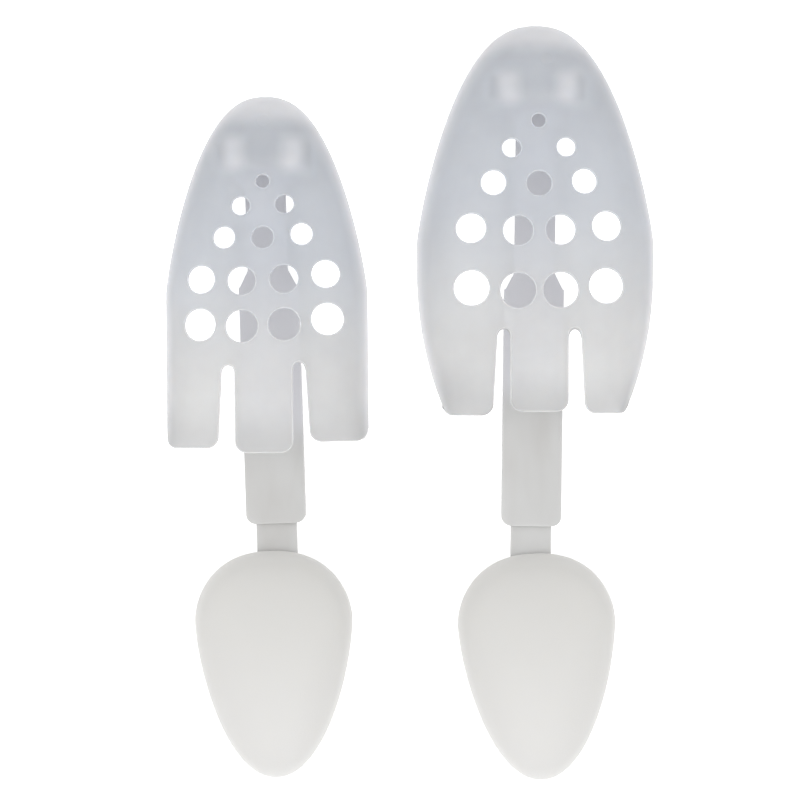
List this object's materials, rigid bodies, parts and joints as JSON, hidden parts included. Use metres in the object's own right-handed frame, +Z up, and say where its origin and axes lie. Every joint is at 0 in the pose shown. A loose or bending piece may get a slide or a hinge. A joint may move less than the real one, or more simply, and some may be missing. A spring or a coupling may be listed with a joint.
{
  "type": "shoe stretcher",
  "caption": "Adjustable plastic shoe stretchers, a large and a small: each has a vented toe shell, a click-stop sliding arm and a hinged heel cup that hold a shoe's shape.",
  "frame": {"origin": "centre of the bounding box's bottom, on the table between the two stretchers", "axes": "+Y towards the toes, +X across to the large stretcher, +Z up from the table"},
  "size_m": [0.1656, 0.2558, 0.024],
  "materials": {
    "clear_shell": "natural translucent polypropylene, satin",
    "clear_arm": "natural polypropylene strip, satin",
    "white_cup": "milky white polypropylene, fine matt"
  },
  "bodies": {
    "large_toe": {"large_toe_shell": "clear_shell"},
    "large_front": {"large_front_arm": "clear_arm"},
    "large_heel": {"large_heel_arm": "clear_arm"},
    "large_cup": {"large_heel_cup": "white_cup"},
    "small_toe": {"small_toe_shell": "clear_shell"},
    "small_front": {"small_front_arm": "clear_arm"},
    "small_heel": {"small_heel_arm": "clear_arm"},
    "small_cup": {"small_heel_cup": "white_cup"}
  },
  "joints": [
    {"name": "small_lift", "type": "slide", "parent": "large_toe", "child": "small_toe", "axis": [0, 0, 1], "range_m": [0, 0.1]},
    {"name": "large_toe_hinge", "type": "hinge", "parent": "large_toe", "child": "large_front", "pos_m": [0.04278, 0.10525, 0.008], "axis": [1, 0, 0], "range_deg": [-6, 20]},
    {"name": "large_length_slide", "type": "slide", "parent": "large_front", "child": "large_heel", "axis": [-0.0122, -0.9999, 0], "range_m": [-0.008, 0.04]},
    {"name": "large_cup_hinge", "type": "hinge", "parent": "large_heel", "child": "large_cup", "pos_m": [0.04063, -0.07044, 0.0064], "axis": [0.999, 0.0436, 0], "range_deg": [0, 35]},
    {"name": "small_toe_hinge", "type": "hinge", "parent": "small_toe", "child": "small_front", "pos_m": [-0.04872, 0.08315, 0.008], "axis": [1, 0.0087, 0], "range_deg": [-6, 20]},
    {"name": "small_length_slide", "type": "slide", "parent": "small_front", "child": "small_heel", "axis": [0.0332, -0.9995, 0], "range_m": [-0.008, 0.04]},
    {"name": "small_cup_hinge", "type": "hinge", "parent": "small_heel", "child": "small_cup", "pos_m": [-0.04366, -0.06947, 0.0064], "axis": [0.9999, 0.0105, 0], "range_deg": [0, 35]}
  ]
}
